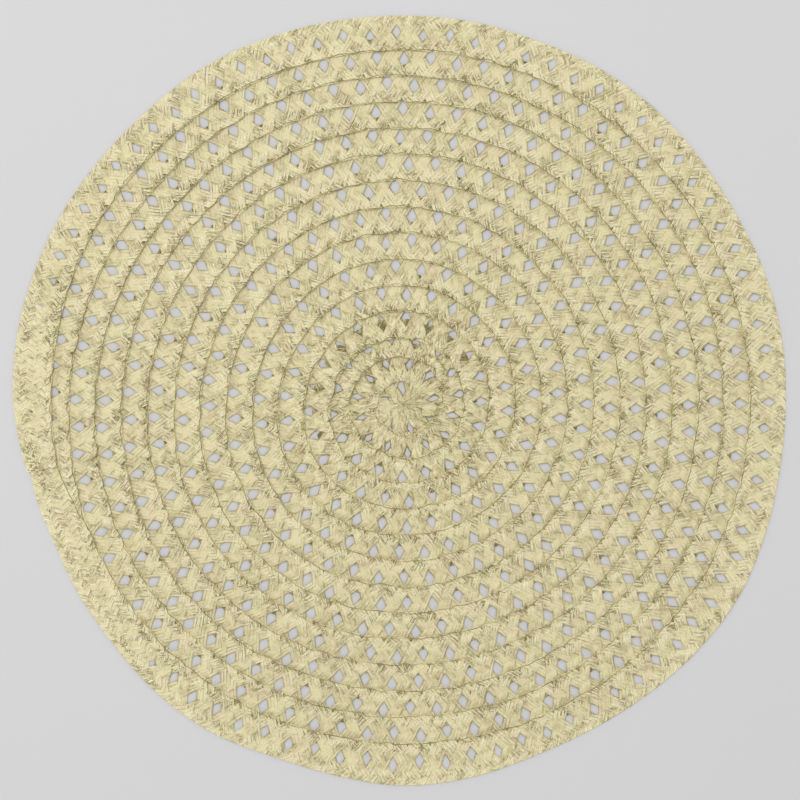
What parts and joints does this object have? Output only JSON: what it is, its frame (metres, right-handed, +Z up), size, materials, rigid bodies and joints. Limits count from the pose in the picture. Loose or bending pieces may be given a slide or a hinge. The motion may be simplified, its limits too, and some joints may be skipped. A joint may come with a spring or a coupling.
{
  "type": "paper placemat",
  "caption": "Round, flat table placemat coiled from an openwork flat braid of paper strips, each turn stitched over the edge of the turn inside it.",
  "frame": {"origin": "centre of the outline's bounding box, on the underside that rests on the table", "axes": "+Z up out of the lapped upper face, +X to the right and +Y to the top of the picture"},
  "size_m": [0.3816, 0.38, 0.0022],
  "materials": {
    "paper_braid": "matte with a faint sheen along the strips"
  },
  "bodies": {
    "root": {"braid_mat": "paper_braid"}
  },
  "joints": []
}
